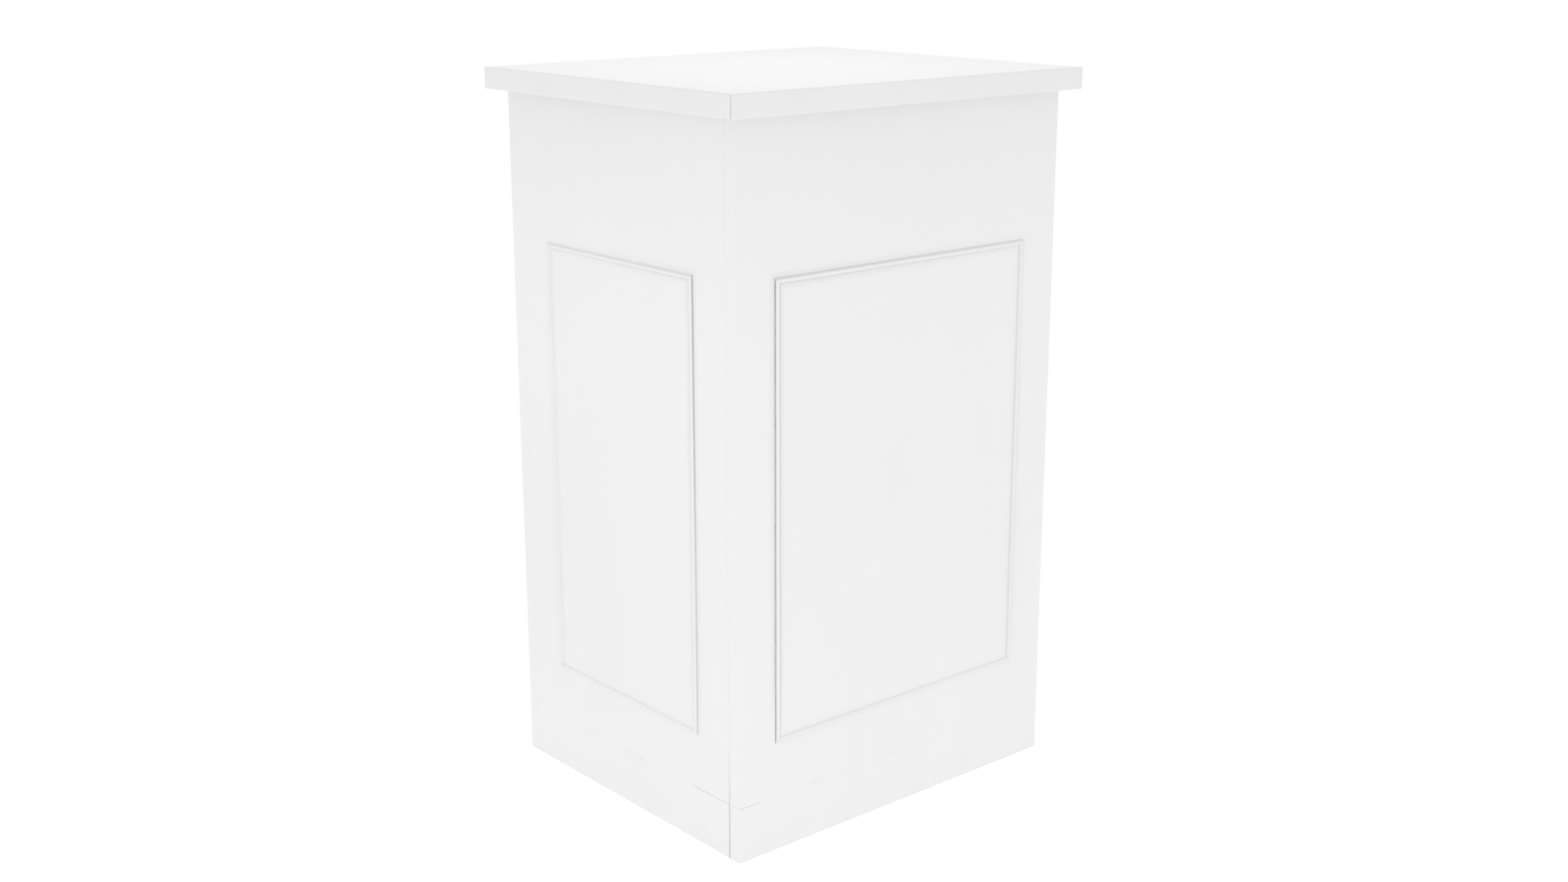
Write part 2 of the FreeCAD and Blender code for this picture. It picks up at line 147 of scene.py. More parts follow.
def lines(a, b, inner, fine=EDGE_STEPS, extra=()):
    """Grid lines from a to b: close together at both ends, even between."""
    mid = np.linspace(a + fine[-1], b - fine[-1], inner)
    out = np.concatenate([a + fine, b - fine, mid, np.asarray(list(extra), float)])
    out = np.unique(np.round(out, 7))
    return out[(out >= a - 1e-9) & (out <= b + 1e-9)]


def board(name, xs, ys, zs, radius, shape=None):
    """A closed board on a grid of lines, whose twelve edges are each rounded by
    radius(axis, sign_a, sign_b, points), a length that may change along the edge.
    shape(points, flags) then moves the points, for joints and for the slight
    unevenness of a hand-finished surface."""
    n = (len(xs), len(ys), len(zs))
    grid = np.full(n, -1, int)
    I, J, K = np.meshgrid(*[np.arange(v) for v in n], indexing="ij")
    skin = (I == 0) | (I == n[0] - 1) | (J == 0) | (J == n[1] - 1) | (K == 0) | (K == n[2] - 1)
    grid[skin] = np.arange(skin.sum())
    P = np.stack([xs[I[skin]], ys[J[skin]], zs[K[skin]]], 1)
    faces = []

    def quads(a, flip):
        q = np.stack([a[:-1, :-1], a[1:, :-1], a[1:, 1:], a[:-1, 1:]], -1).reshape(-1, 4)
        faces.append(q[:, ::-1] if flip else q)
    quads(grid[0, :, :], True)
    quads(grid[-1, :, :], False)
    quads(grid[:, 0, :], False)
    quads(grid[:, -1, :], True)
    quads(grid[:, :, 0], True)
    quads(grid[:, :, -1], False)
    faces = np.concatenate(faces)
    lo, hi = P.min(0), P.max(0)
    if shape is not None:
        P = P + shape(P.copy(), lo, hi)
    Q = P.copy()
    for axis in (2, 0, 1):
        a, b = [(1, 2), (2, 0), (0, 1)][axis]
        for sa in (-1, 1):
            for sb in (-1, 1):
                A = hi[a] if sa > 0 else lo[a]
                B = hi[b] if sb > 0 else lo[b]
                r = np.broadcast_to(radius(axis, sa, sb, P), (len(P),))
                da = sa * (A - Q[:, a])
                db = sb * (B - Q[:, b])
                hit = (da < r - 1e-9) & (db < r - 1e-9) & (r > 1e-7)
                ca = A - sa * r
                cb = B - sb * r
                va, vb = Q[:, a] - ca, Q[:, b] - cb
                d = np.hypot(va, vb)
                d[d < 1e-12] = 1
                Q[:, a] = np.where(hit, ca + va / d * r, Q[:, a])
                Q[:, b] = np.where(hit, cb + vb / d * r, Q[:, b])
    ob = mesh_object(name, Q, faces)
    return ob


def turn_mesh(ob, turn):
    ob.data.transform(Matrix.Rotation(math.radians(turn), 4, "Z"))
    ob.data.update()


# -------------------------------------------------------------------- materials
def new_material(name):
    m = bpy.data.materials.new(name)
    m.use_nodes = True
    nt = m.node_tree
    bsdf = nt.nodes.get("Principled BSDF")
    return m, nt, bsdf


def add(nt, kind, **props):
    n = nt.nodes.new(kind)
    for k, v in props.items():
        setattr(n, k, v)
    return n


def noise(nt, coord, scale, detail=2.0, rough=0.5, stretch=None):
    mp = add(nt, "ShaderNodeMapping")
    nt.links.new(coord, mp.inputs["Vector"])
    if stretch:
        mp.inputs["Scale"].default_value = stretch
    n = add(nt, "ShaderNodeTexNoise")
    n.inputs["Scale"].default_value = scale
    n.inputs["Detail"].default_value = detail
    n.inputs["Roughness"].default_value = rough
    nt.links.new(mp.outputs["Vector"], n.inputs["Vector"])
    return n.outputs["Fac"]


def remap(nt, value, a, b, c, d, smooth=False):
    r = add(nt, "ShaderNodeMapRange")
    if smooth:
        r.interpolation_type = "SMOOTHSTEP"
    nt.links.new(value, r.inputs["Value"])
    for key, v in (("From Min", a), ("From Max", b), ("To Min", c), ("To Max", d)):
        r.inputs[key].default_value = v
    return r.outputs["Result"]


def calc(nt, op, a, b=None):
    m = add(nt, "ShaderNodeMath", operation=op)
    for i, v in enumerate((a, b)):
        if v is None:
            continue
        if isinstance(v, (int, float)):
            m.inputs[i].default_value = v
        else:
            nt.links.new(v, m.inputs[i])
    return m.outputs[0]


def mix_colour(nt, fac, a, b):
    m = add(nt, "ShaderNodeMix", data_type="RGBA")
    nt.links.new(fac, m.inputs["Factor"])
    for sock, v in ((m.inputs[6], a), (m.inputs[7], b)):
        if isinstance(v, tuple):
            sock.default_value = (*v, 1)
        else:
            nt.links.new(v, sock)
    return m.outputs[2]


def bump(nt, bsdf, layers):
    """layers: (height socket, strength, distance in metres), stacked."""
    last = None
    for h, strength, dist in layers:
        b = add(nt, "ShaderNodeBump")
        b.inputs["Strength"].default_value = strength
        b.inputs["Distance"].default_value = dist
        nt.links.new(h, b.inputs["Height"])
        if last is not None:
            nt.links.new(last, b.inputs["Normal"])
        last = b.outputs["Normal"]
    nt.links.new(last, bsdf.inputs["Normal"])


def satin_paint(name="satin_paint", across=None, rect=None, grey=0.19):
    """White satin furniture paint on board, put on with a short-pile roller:
    a fine stipple, faint long roller passes, a little unevenness in sheen and
    thin grey where hands and shoes meet it near the floor. On the panels a thin
    grey band of painted shade also lies beside the beads, standing in for their
    shadow: stronger towards -x and -y, and fainter along the foot rail."""
    m, nt, bsdf = new_material(name)
    co = add(nt, "ShaderNodeTexCoord").outputs["Object"]
    sep = add(nt, "ShaderNodeSeparateXYZ")
    nt.links.new(co, sep.inputs[0])
    stipple = noise(nt, co, 620, 2.0, 0.55)
    film = noise(nt, co, 150, 2.0, 0.5)
    passes = noise(nt, co, 11, 2.0, 0.5, stretch=(2.2, 2.2, 0.35))
    cloud = noise(nt, co, 3.1, 3.0, 0.55)
    grime = noise(nt, co, 34, 4.0, 0.6, stretch=(1, 1, 2.2))
    low = remap(nt, sep.outputs["Z"], 0.0, 0.05, 1.0, 0.0, smooth=True)
    dirt = calc(nt, "MULTIPLY", low, remap(nt, grime, 0.42, 0.75, 0.0, 1.0))
    tone = calc(nt, "ADD", calc(nt, "MULTIPLY", cloud, 0.6), calc(nt, "MULTIPLY", passes, 0.4))
    base = mix_colour(nt, remap(nt, tone, 0.3, 0.7, 0.0, 1.0), (0.700, 0.700, 0.700), (0.716, 0.716, 0.716))
    col = mix_colour(nt, calc(nt, "MULTIPLY", dirt, 0.10), base, (0.52, 0.52, 0.515))
    if rect:
        hx, zc, hz = rect
        u = calc(nt, "SUBTRACT", calc(nt, "ABSOLUTE", sep.outputs[across]), hx)
        v = calc(nt, "SUBTRACT", calc(nt, "ABSOLUTE", calc(nt, "SUBTRACT", sep.outputs["Z"], zc)), hz)
        away = calc(nt, "ABSOLUTE", calc(nt, "MAXIMUM", u, v))
        # Painted shade: a grey band beside the bead frame in place of the beads' shadow, weaker along the foot rail and
        # towards +x or +y.
        line = remap(nt, away, 0.0042, 0.0125, 1.0, 0.0, smooth=True)
        line = calc(nt, "MULTIPLY", line, remap(nt, film, 0.3, 0.7, 0.75, 1.0))
        line = calc(nt, "MULTIPLY", line, remap(nt, sep.outputs["Z"], zc - hz + 0.006, zc - hz + 0.09, 0.25, 1.0, smooth=True))
        line = calc(nt, "MULTIPLY", line, remap(nt, sep.outputs[across], -hx, hx, 1.0, 0.35))
        col = mix_colour(nt, calc(nt, "MULTIPLY", line, grey), col, (0.46, 0.46, 0.457))
    nt.links.new(col, bsdf.inputs["Base Color"])
    rough = calc(nt, "ADD", remap(nt, passes, 0.25, 0.75, 0.36, 0.44),
                 calc(nt, "MULTIPLY", stipple, 0.05))
    nt.links.new(rough, bsdf.inputs["Roughness"])
    bsdf.inputs["Specular IOR Level"].default_value = 0.42
    bump(nt, bsdf, [(passes, 0.10, 0.0006), (film, 0.10, 0.0002), (stipple, 0.14, 0.00008)])
    return m


def groove_shade_paint(name, faded=False):
    """The paint inside the slots beside the beads, greyed as painted shade of the
    deep slot, with a mottle of dust. Faded: the painted shade lightens towards the foot."""
    m, nt, bsdf = new_material(name)
    co = add(nt, "ShaderNodeTexCoord").outputs["Object"]
    dust = noise(nt, co, 90, 3.0, 0.6)
    col = mix_colour(nt, remap(nt, dust, 0.35, 0.65, 0.0, 1.0), (0.49, 0.49, 0.486), (0.58, 0.58, 0.575))
    if faded:
        sep = add(nt, "ShaderNodeSeparateXYZ")
        nt.links.new(co, sep.inputs[0])
        # The painted shade lightens lower down, most below 0.32 m.
        low = remap(nt, sep.outputs["Z"], 0.32, 0.62, 0.85, 0.0, smooth=True)
        col = mix_colour(nt, low, col, (0.68, 0.68, 0.676))
    nt.links.new(col, bsdf.inputs["Base Color"])
    bsdf.inputs["Roughness"].default_value = 0.8
    bsdf.inputs["Specular IOR Level"].default_value = 0.2
    bump(nt, bsdf, [(dust, 0.2, 0.0001)])
    return m


def top_laminate():
    """White decorative laminate: tighter and glossier than the paint, with a very
    fine pearl texture and a few hair scratches from what has stood on it."""
    m, nt, bsdf = new_material("top_laminate")
    co = add(nt, "ShaderNodeTexCoord").outputs["Object"]
    pearl = noise(nt, co, 900, 2.0, 0.6)
    cloud = noise(nt, co, 4.0, 3.0, 0.5)
    wave = add(nt, "ShaderNodeTexVoronoi", feature="DISTANCE_TO_EDGE")
    mp = add(nt, "ShaderNodeMapping")
    nt.links.new(co, mp.inputs["Vector"])
    mp.inputs["Scale"].default_value = (3, 11, 1)
    mp.inputs["Rotation"].default_value = (0, 0, 0.5)
    nt.links.new(mp.outputs["Vector"], wave.inputs["Vector"])
    wave.inputs["Scale"].default_value = 3.0
    scratch = calc(nt, "MULTIPLY", remap(nt, wave.outputs["Distance"], 0.0, 0.004, 1.0, 0.0),
                   remap(nt, noise(nt, co, 9, 2.0), 0.58, 0.7, 0.0, 1.0))
    base = mix_colour(nt, remap(nt, cloud, 0.3, 0.7, 0.0, 1.0), (0.795, 0.795, 0.795), (0.810, 0.810, 0.810))
    nt.links.new(base, bsdf.inputs["Base Color"])
    rough = calc(nt, "ADD", remap(nt, cloud, 0.3, 0.7, 0.30, 0.36), calc(nt, "MULTIPLY", scratch, 0.18))
    nt.links.new(rough, bsdf.inputs["Roughness"])
    bsdf.inputs["Specular IOR Level"].default_value = 0.5
    bump(nt, bsdf, [(pearl, 0.10, 0.00005), (scratch, 0.05, 0.00003)])
    return m


def edge_band():
    m, nt, bsdf = new_material("edge_band")
    co = add(nt, "ShaderNodeTexCoord").outputs["Object"]
    fine = noise(nt, co, 700, 2.0, 0.5)
    cloud = noise(nt, co, 7, 3.0, 0.55)
    chatter = noise(nt, co, 240, 1.0, 0.4, stretch=(1, 1, 0.05))
    base = mix_colour(nt, remap(nt, cloud, 0.3, 0.7, 0.0, 1.0), (0.690, 0.690, 0.690), (0.708, 0.708, 0.708))
    nt.links.new(base, bsdf.inputs["Base Color"])
    nt.links.new(remap(nt, cloud, 0.3, 0.7, 0.34, 0.42), bsdf.inputs["Roughness"])
    bsdf.inputs["Specular IOR Level"].default_value = 0.45
    bump(nt, bsdf, [(chatter, 0.05, 0.00008), (fine, 0.10, 0.00006)])
    return m


def backing_laminate():
    m, nt, bsdf = new_material("backing_laminate")
    co = add(nt, "ShaderNodeTexCoord").outputs["Object"]
    fine = noise(nt, co, 500, 3.0, 0.6)
    cloud = noise(nt, co, 6, 3.0, 0.55)
    base = mix_colour(nt, remap(nt, cloud, 0.3, 0.7, 0.0, 1.0), (0.73, 0.73, 0.725), (0.76, 0.76, 0.755))
    nt.links.new(base, bsdf.inputs["Base Color"])
    nt.links.new(remap(nt, cloud, 0.3, 0.7, 0.5, 0.6), bsdf.inputs["Roughness"])
    bump(nt, bsdf, [(fine, 0.12, 0.00006)])
    return m


def bare_board():
    """Bare medium-density fibreboard: fine felted fibre, warm brown."""
    m, nt, bsdf = new_material("bare_fibreboard")
    co = add(nt, "ShaderNodeTexCoord").outputs["Object"]
    fibre = noise(nt, co, 420, 5.0, 0.7)
    fleck = noise(nt, co, 160, 3.0, 0.6, stretch=(1, 1, 3))
    cloud = noise(nt, co, 5, 3.0, 0.5)
    a = mix_colour(nt, remap(nt, fibre, 0.35, 0.68, 0.0, 1.0), (0.36, 0.235, 0.135), (0.52, 0.37, 0.235))
    b = mix_colour(nt, calc(nt, "MULTIPLY", remap(nt, fleck, 0.6, 0.72, 0.0, 1.0), 0.5), a, (0.24, 0.15, 0.085))
    c = mix_colour(nt, calc(nt, "MULTIPLY", cloud, 0.25), b, (0.56, 0.41, 0.27))
    nt.links.new(c, bsdf.inputs["Base Color"])
    nt.links.new(remap(nt, fibre, 0.3, 0.7, 0.72, 0.86), bsdf.inputs["Roughness"])
    bsdf.inputs["Specular IOR Level"].default_value = 0.25
    bump(nt, bsdf, [(fibre, 0.25, 0.00012)])
    return m


def pine(name, along):
    """Planed softwood: growth rings drawn out along the piece, darker late wood,
    fine pores and planer marks."""
    m, nt, bsdf = new_material(name)
    co = add(nt, "ShaderNodeTexCoord").outputs["Object"]
    squeeze = {"x": (0.05, 1, 1), "y": (1, 0.05, 1), "z": (1, 1, 0.05)}[along]
    warp = noise(nt, co, 18, 2.0, 0.5, stretch=squeeze)
    mp = add(nt, "ShaderNodeMapping")
    nt.links.new(co, mp.inputs["Vector"])
    mp.inputs["Scale"].default_value = squeeze
    mp.inputs["Rotation"].default_value = (0.3, 0.2, 0.5)
    ring = add(nt, "ShaderNodeTexWave", wave_type="RINGS", rings_direction="SPHERICAL")
    ring.inputs["Scale"].default_value = 42
    ring.inputs["Distortion"].default_value = 3.0
    ring.inputs["Detail"].default_value = 2.0
    ring.inputs["Detail Scale"].default_value = 1.4
    nt.links.new(mp.outputs["Vector"], ring.inputs["Vector"])
    late = remap(nt, calc(nt, "ADD", ring.outputs["Fac"], calc(nt, "MULTIPLY", warp, 0.3)), 0.55, 1.15, 0.0, 1.0, smooth=True)
    pore = noise(nt, co, 900, 3.0, 0.6, stretch={"x": (0.03, 1, 1), "y": (1, 0.03, 1), "z": (1, 1, 0.03)}[along])
    a = mix_colour(nt, late, (0.68, 0.49, 0.29), (0.48, 0.29, 0.14))
    b = mix_colour(nt, calc(nt, "MULTIPLY", remap(nt, pore, 0.5, 0.75, 0.0, 1.0), 0.35), a, (0.38, 0.24, 0.12))
    nt.links.new(b, bsdf.inputs["Base Color"])
    nt.links.new(remap(nt, late, 0.0, 1.0, 0.66, 0.52), bsdf.inputs["Roughness"])
    bsdf.inputs["Specular IOR Level"].default_value = 0.3
    bump(nt, bsdf, [(late, 0.12, 0.00015), (pore, 0.15, 0.0001)])
    return m


def zinc():
    m, nt, bsdf = new_material("zinc_plate")
    co = add(nt, "ShaderNodeTexCoord").outputs["Object"]
    grain = noise(nt, co, 1500, 3.0, 0.6)
    stain = noise(nt, co, 260, 3.0, 0.6)
    base = mix_colour(nt, remap(nt, stain, 0.35, 0.7, 0.0, 1.0), (0.66, 0.64, 0.55), (0.76, 0.75, 0.71))
    nt.links.new(base, bsdf.inputs["Base Color"])
    bsdf.inputs["Metallic"].default_value = 1.0
    nt.links.new(remap(nt, grain, 0.3, 0.7, 0.26, 0.42), bsdf.inputs["Roughness"])
    bump(nt, bsdf, [(grain, 0.10, 0.00003)])
    return m


PAINT = satin_paint()
# The panel paints carry the painted shade beside the beads.
PANEL_PAINT = {True: satin_paint("satin_paint_wide", "X", frame_rectangle("front"), 0.26),
               False: satin_paint("satin_paint_narrow", "Y", frame_rectangle("left"))}
# Groove paints: painted shade inside the open grooves and the undercut bead feet.
GROOVE_SHADE = {True: groove_shade_paint("groove_shade_paint_wide"),
           False: groove_shade_paint("groove_shade_paint_narrow", True)}
LAMINATE = top_laminate()
BAND = edge_band()
BACKER = backing_laminate()
BARE = bare_board()
ZINC = zinc()
PINE = {a: pine("pine_" + a, a) for a in "xyz"}


def dress(ob, material, second=None):
    """One material, or two with the faces' own numbers kept."""
    marks = [p.material_index for p in ob.data.polygons] if second else None
    ob.data.materials.clear()
    ob.data.materials.append(material)
    if second:
        ob.data.materials.append(second)
        ob.data.polygons.foreach_set("material_index", marks)


# ------------------------------------------------------------- panels and base band
SIDES = [("front", 0, BW, BD / 2, True), ("back", 180, BW, BD / 2, True),
         ("left", -90, BD, BW / 2, False), ("right", 90, BD, BW / 2, False)]


# Short places where the filled joint shows again, as (x, width) along each face.
SPOTS = {"front": [(-0.138, 0.005), (-0.031, 0.005), (-0.014, 0.006)],
         "left": [(0.029, 0.006), (0.004, 0.006)],
         "back": [(0.060, 0.006)], "right": [(-0.140, 0.005)]}


def joint_opening(side, x, half):
    """How open the joint between panel and base band is, along one face, 0 to 1.
    x runs to the right as seen from outside. It is filled and painted over, and
    shows again next to the front-left corner and in a few short stretches."""
    seed = {"front": 11, "back": 12, "left": 13, "right": 14}[side]
    wob = 0.5 + 0.5 * smooth_noise(seed, 0.035, 1)(x[:, None])
    reach, amount, near = {"front": (0.038, 0.75, -1), "left": (0.072, 1.0, 1),
                           "back": (0.024, 0.45, 1), "right": (0.024, 0.45, -1)}[side]
    d = half - near * x
    open_ = amount * np.clip((reach - d) / 0.010, 0, 1) * (0.65 + 0.35 * wob)
    for at, width in SPOTS[side]:
        open_ = open_ + 0.45 * bell(x, at, width)
    return np.clip(0.04 + 0.04 * wob + open_, 0, 1)


def joint_lines(side, half):
    near = 1 if side in ("left", "back") else -1
    out = [near * (half - d) for d in np.arange(0.004, 0.080, 0.004)]
    for at, width in SPOTS[side]:
        out += list(at + np.arange(-5, 6) * 0.002)
    return out


# The V groove beside each bead: its two edges and its bottom, measured from the
# bead's middle line, and its depth on the stiles and top rail and on the foot rail.
GROOVE = (BEAD_W / 2 - 0.15 * MM, BEAD_W / 2 + 0.80 * MM, BEAD_W / 2 + 1.70 * MM)

# How deep the paint has left each groove, in millimetres, as seen from outside.
# The stile beside the lapped corner is open, its outer groove greyed with painted shade; the others are nearly filled.
WIDE_DEPTH = {"left": 2.0, "right": 0.50, "top": 0.65, "bottom": 0.06}
NARROW_DEPTH = {"left": 0.06, "right": 1.7, "top": 0.34, "bottom": 0.04}
OPEN_STILE = {True: "left", False: "right"}
INNER_SHARE = {True: 0.55, False: 1.0}     # depth of the inner groove against the outer


def make_side(side, turn, span, out, laps):
    run = span if laps else span - 2 * WALL
    z0, z1 = CARC
    half = run / 2
    field = smooth_noise(101 + turn, 0.22)
    hx, zc, hz = frame_rectangle(side)

    def from_bead(P):
        """Distance outwards (+) or inwards (-) from the bead frame's middle line."""
        return np.maximum(np.abs(P[:, 0]) - hx, np.abs(P[:, 2] - zc) - hz)

    depths = WIDE_DEPTH if laps else NARROW_DEPTH

    def member(x, z):
        """Which of the four beads a point of the face lies beside."""
        if np.abs(z - zc) - hz > np.abs(x) - hx + 1e-5:
            return "top" if z > zc else "bottom"
        return "right" if x > 0 else "left"

    rings = [k * g for g in GROOVE for k in (1, -1)]
    ring_x = [k * (hx + g) for g in rings for k in (1, -1)]
    ring_z = [zc + k * (hz + g) for g in rings for k in (1, -1)]
    xs = lines(-half, half, 44, extra=joint_lines(side, half) + ring_x)
    ys = lines(-out, -(out - WALL), 3)

    def uneven(P, lo, hi):
        """The outer skin is a hair hollow here and there; nothing stands proud."""
        move = np.zeros_like(P)
        skin = P[:, 1] < lo[1] + 1e-6
        edge = np.minimum.reduce([P[:, 0] - lo[0], hi[0] - P[:, 0], P[:, 2] - lo[2], hi[2] - P[:, 2]])
        fade = np.clip(edge / 0.05, 0, 1) ** 2 * np.clip((np.abs(from_bead(P)) - 0.008) / 0.03, 0, 1)
        depth = 0.00010 * (1 + field(P * np.array([1.0, 0.0, 1.0]))) * fade
        move[:, 1] = np.where(skin, np.clip(depth, 0, 0.0003), 0)
        return move

    # panel
    zs = lines(z0, z1, 60, extra=ring_z)

    def panel_shape(P, lo, hi):
        move = uneven(P, lo, hi)
        skin = P[:, 1] < lo[1] + 1e-6
        signed = from_bead(P)
        for i in np.nonzero(skin & (np.abs(np.abs(signed) - GROOVE[1]) < 2e-6))[0]:
            share = 1.0 if signed[i] > 0 else INNER_SHARE[laps]
            if not laps:                    # shallower towards the foot
                share *= np.interp(P[i, 2], [zc - hz, zc + 0.2 * hz], [0.6, 1.0])
            move[i, 1] += depths[member(P[i, 0], P[i, 2])] * share * MM
        move[:, 2] += np.where(P[:, 2] < lo[2] + 1e-6, 0.00026 * joint_opening(side, P[:, 0], half), 0)
        if side == "left":
            gap = np.interp(P[:, 2], [z0, z0 + 0.09], [0.0008, 0.0])
            end = P[:, 0] > hi[0] - 0.0019
            move[:, 0] -= np.where(end, gap, 0)
        return move

    def panel_radius(axis, sa, sb, P):
        if axis == 0:                       # edges along x: (y, z)
            if sa < 0 and sb < 0:           # outer lower edge: the joint with the band
                return 0.00004 + 0.00016 * joint_opening(side, P[:, 0], half)
            if sa < 0 and sb > 0:
                return 0.0003
            return 0.0002
        if axis == 2:                       # edges along z: (x, y)
            if sb < 0:
                if laps:
                    return 0.00035 + 0.00008 * smooth_noise(7 + turn, 0.15, 1)(P[:, 2:3])
                near = sa > 0
                if side == "left" and near:
                    return np.interp(P[:, 2], [0.07, 0.17, 0.9], [0.00035, 0.00020, 0.00016])
                return 0.00014
            return 0.0002
        return 0.0002

    panel = board(side + ("_panel" if laps else "_side_panel") + "_painted", xs, ys, zs, panel_radius, panel_shape)
    me = panel.data
    co = np.array([v.co for v in me.vertices])
    signed = from_bead(co)
    away = np.abs(signed)
    skin = co[:, 1] < -out + 0.0045
    for e in me.edges:
        a, b = e.vertices
        if skin[a] and skin[b] and abs(away[a] - away[b]) < 2e-6 and min(abs(away[a] - g) for g in GROOVE) < 2e-6:
            e.use_edge_sharp = True
    for poly in me.polygons:
        v = list(poly.vertices)
        m = float(np.mean(away[v]))
        if skin[v].all() and GROOVE[0] < m < GROOVE[2]:
            where = member(float(np.mean(co[v, 0])), float(np.mean(co[v, 2])))
            # The outer groove of the open stile takes the painted groove shade.
            poly.material_index = 1 if where == OPEN_STILE[laps] and signed[v].mean() > 0 else 0
    turn_mesh(panel, turn)
    dress(panel, PANEL_PAINT[laps], GROOVE_SHADE[laps])
    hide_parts(side + ("_panel" if laps else "_side_panel"))
    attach(panel, "root")

    # base board
    zs = lines(0.0, z0, 8)

    def base_shape(P, lo, hi):
        move = np.zeros_like(P)
        move[:, 2] -= np.where(P[:, 2] > hi[2] - 1e-6, 0.00026 * joint_opening(side, P[:, 0], half), 0)
        if side == "left":
            gap = np.interp(P[:, 2], [0, z0], [0.0014, 0.0008])
            end = P[:, 0] > hi[0] - 0.0019
            move[:, 0] -= np.where(end, gap, 0)
        return move

    def base_radius(axis, sa, sb, P):
        if axis == 0:
            if sa < 0 and sb > 0:
                return 0.00004 + 0.00016 * joint_opening(side, P[:, 0], half)
            if sa < 0 and sb < 0:
                return 0.0011 + 0.0003 * smooth_noise(17 + turn, 0.08, 1)(P[:, 0:1])
            return 0.0003
        if axis == 2:
            if sb < 0:
                if laps:
                    return 0.00038 + 0.00010 * smooth_noise(27 + turn, 0.05, 1)(P[:, 2:3])
                if side == "left" and sa > 0:
                    return 0.0005
                return 0.0002
            return 0.0003
        return 0.0003

    base = board("base_" + side + "_board_painted", xs, ys, zs, base_radius, base_shape)
    turn_mesh(base, turn)
    dress(base, PAINT)
    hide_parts("base_" + side + "_board")
    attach(base, "root")


for entry in SIDES:
    make_side(*entry)


# -------------------------------------------------------------------- bead frames
def bead_profile(foot=None):
    """Half-round bead as (across, rise) pairs from the outer foot over the crest to
    the inner foot. With no foot given its feet are slightly undercut; otherwise they
    are filled with paint, the more so the larger the value. The last number of each
    point is the surface that starts there: 1 in the groove, 0 outside."""
    w, h = BEAD_W / MM, BEAD_H / MM
    if foot:
        t = np.pi * np.arange(35) / 34
        pts = np.stack([w / 2 - w / 2 * np.cos(t), h * np.sin(t).clip(0) ** foot, 0 * t], 1)
        return pts * np.array([MM, MM, 1])
    pts = [(0.34, 0.0, 1), (0.20, 0.18, 1), (0.05, 0.40, 0)]
    for k in range(0, 29):
        t = math.pi * k / 28
        pts.append((w / 2 - w / 2 * math.cos(t), 0.52 + (h - 0.52) * math.sin(t) ** 0.9, 0))
    pts += [(w - 0.05, 0.40, 1), (w - 0.20, 0.18, 1), (w - 0.34, 0.0, 1)]
    return np.array(pts) * np.array([MM, MM, 1])


# How far paint has filled the feet of each bead.
WIDE_FEET = {"left": None, "right": 1.2, "top": 1.4, "bottom": 2.6}
NARROW_FEET = {"left": 2.3, "right": None, "top": 1.9, "bottom": 4.2}


def bead_strip(name, length, place, seed, foot):
    """place(along, across, rise) gives points in the face frame. The ends are cut
    at 45 degrees and rounded over a hair, so the mitre shows as a fine line."""
    n = 36
    profile = bead_profile(foot)
    t = np.concatenate([[0, 0.00025, 0.0008], np.linspace(0.004, length - 0.004, n), [length - 0.0008, length - 0.00025, length]])
    wob = smooth_noise(seed, 0.25, 1)(t[:, None]) * 0.00006
    wob *= np.clip(np.minimum(t, length - t) / 0.03, 0, 1)
    rings = []
    for s, wv in zip(t, wob):
        k = min(s, length - s)
        drop = 0.00022 if k < 1e-6 else (0.00007 if k < 0.0003 else 0)
        ring = []
        for a, r, _ in profile:
            # mitre: the far side of the section is cut shorter
            u = s
            start, stop = a, length - a
            u = start + (stop - start) * (s / length)
            if s < 0.004:
                u = start + s
            elif s > length - 0.004:
                u = stop - (length - s)
            rr = max(0.0, r - drop * (r / BEAD_H) ** 0.5 * (1 if r > 0 else 0))
            ring.append(place(u, a + wv, rr))
        rings.append(ring)
    m = len(profile)
    verts = [p for ring in rings for p in ring]
    faces = []
    for i in range(len(rings) - 1):
        for j in range(m):
            a, b = i * m + j, i * m + (j + 1) % m
            faces.append((a, b, b + m, a + m))
    faces.append(tuple(range(m - 1, -1, -1)))
    faces.append(tuple(range((len(rings) - 1) * m, len(rings) * m)))
    ob = mesh_object(name, verts, faces)
    for poly in ob.data.polygons:
        if poly.index < (len(rings) - 1) * m:
            poly.material_index = int(profile[poly.index % m, 2])
    return ob


def make_beads(side, turn, span, out, laps):
    names = {w: "%s_bead_%s" % (side, w) for w in ("bottom", "top", "left", "right")}
    inv = Matrix.Rotation(math.radians(-turn), 3, "Z")
    pts = []
    for n in names.values():
        lo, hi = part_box(n)
        for c in (lo, hi):
            pts.append(inv @ c)
    x0, x1 = min(p.x for p in pts), max(p.x for p in pts)
    z0, z1 = min(p.z for p in pts), max(p.z for p in pts)
    for k, (where, length) in enumerate((("bottom", x1 - x0), ("top", x1 - x0), ("left", z1 - z0), ("right", z1 - z0))):
        def place(u, a, r, where=where):
            y = -out - r
            if where == "bottom":
                return (x0 + u, y, z0 + a)
            if where == "top":
                return (x1 - u, y, z1 - a)
            if where == "left":
                return (x0 + a, y, z1 - u)
            return (x1 - a, y, z0 + u)
        ob = bead_strip(names[where] + "_painted", length, place, 300 + k + turn,
                        (WIDE_FEET if laps else NARROW_FEET)[where])
        weld_and_orient(ob)
        turn_mesh(ob, turn)
        # The undercut feet of the open stiles' beads (surface 1) take the painted groove shade.
        dress(ob, PAINT, GROOVE_SHADE[laps])
        mod = ob.modifiers.new("by_angle", "WEIGHTED_NORMAL")
        mod.keep_sharp = True
        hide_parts(names[where])
        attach(ob, "root")


for entry in SIDES:
    make_beads(*entry)


